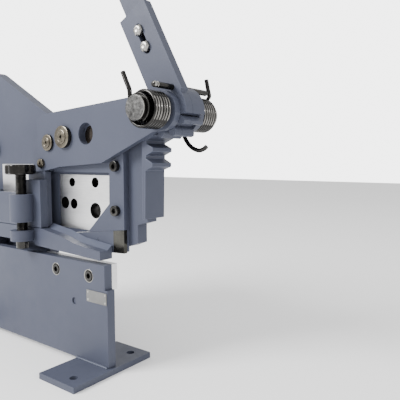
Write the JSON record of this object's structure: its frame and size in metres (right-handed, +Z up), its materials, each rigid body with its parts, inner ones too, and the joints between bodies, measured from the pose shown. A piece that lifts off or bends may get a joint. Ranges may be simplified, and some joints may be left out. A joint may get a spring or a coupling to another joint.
{
  "type": "hand-lever metal shear",
  "caption": "Bench-standing hand-lever shear for strip and bar, with a toothed pivoting jaw, lever pinion, torsion springs and a screw hold-down.",
  "frame": {"origin": "centre of the bounding box, on the floor under the feet", "axes": "+X towards the working end, +Y towards the back, +Z up"},
  "size_m": [0.6174, 0.214, 1.2399],
  "materials": {
    "paint": "satin blue-grey machine paint",
    "dark_steel": "oiled dark steel",
    "bolt_steel": "zinc-plated steel",
    "ground_steel": "ground tool steel",
    "bronze": "bearing bronze",
    "plate_metal": "brushed aluminium, blank",
    "rubber": "matte rubber"
  },
  "bodies": {
    "root": {"body_plate": "paint", "right_foot": "paint", "left_foot": "paint", "frame_plate": "paint", "lower_packing": "paint", "front_packing": "paint", "rear_packing": "paint", "front_cheek": "paint", "rear_cheek": "paint", "screw_lug": "paint", "pinion_shaft": "dark_steel", "front_spring": "dark_steel", "rear_spring": "dark_steel", "front_shaft_clip": "dark_steel", "rear_shaft_clip": "dark_steel", "large_cheek_pin": "bolt_steel", "large_pin_nut": "bolt_steel", "small_cheek_pin": "bolt_steel", "small_pin_nut": "bolt_steel", "cheek_bolt": "bolt_steel", "lower_blade_screw_1": "bolt_steel", "lower_blade_screw_2": "bolt_steel", "jaw_pivot_pin": "bolt_steel", "jaw_pivot_nut": "bolt_steel", "lower_blade": "ground_steel", "fixed_profile_knife": "ground_steel", "fixed_angle_knife": "ground_steel", "rating_plate": "plate_metal"},
    "jaw": {"jaw_front_plate": "paint", "jaw_rear_plate": "paint", "jaw_block": "paint", "rack_segment": "paint", "jaw_cap_screw_1": "dark_steel", "jaw_cap_screw_2": "dark_steel", "jaw_tie_bolt": "dark_steel", "upper_blade_screw_1": "bolt_steel", "upper_blade_screw_2": "bolt_steel", "upper_blade_screw_3": "bolt_steel", "upper_blade": "ground_steel", "moving_profile_knife": "ground_steel", "jaw_pivot_bush": "bronze"},
    "lever": {"lever_arm": "paint", "pinion": "paint", "lever_bar": "paint", "stop_pin": "dark_steel", "lever_bolt_1": "bolt_steel", "lever_bolt_2": "bolt_steel", "lever_nut_1": "bolt_steel", "lever_nut_2": "bolt_steel", "hand_grip": "rubber"},
    "hold_down": {"hold_down_bar": "paint"},
    "screw": {"hold_down_screw": "dark_steel", "hand_knob": "dark_steel"}
  },
  "joints": [
    {"name": "lever_swing", "type": "hinge", "parent": "root", "child": "lever", "pos_m": [0.26898, 0.02, 0.4219], "axis": [0, -1, 0], "range_deg": [-7, 40], "stiffness_Nm_per_rad": 14, "springref_deg": -45.84},
    {"name": "jaw_swing", "type": "hinge", "parent": "root", "child": "jaw", "pos_m": [-0.22172, 0.037, 0.375], "axis": [0, 1, 0], "range_deg": [-0.52, 2.96]},
    {"name": "hold_down_slide", "type": "slide", "parent": "root", "child": "hold_down", "axis": [0, 0, -1], "range_m": [0, 0.0065]},
    {"name": "knob_turn", "type": "hinge", "parent": "hold_down", "child": "screw", "pos_m": [-0.04332, -0.044, 0.333], "axis": [0, 0, -1], "range_deg": [0, 940]}
  ],
  "couplings": [
    {"joint": "jaw_swing", "follows": "lever_swing", "ratio": 0.0735},
    {"joint": "knob_turn", "follows": "hold_down_slide", "rad_per_m": 2518.9}
  ]
}
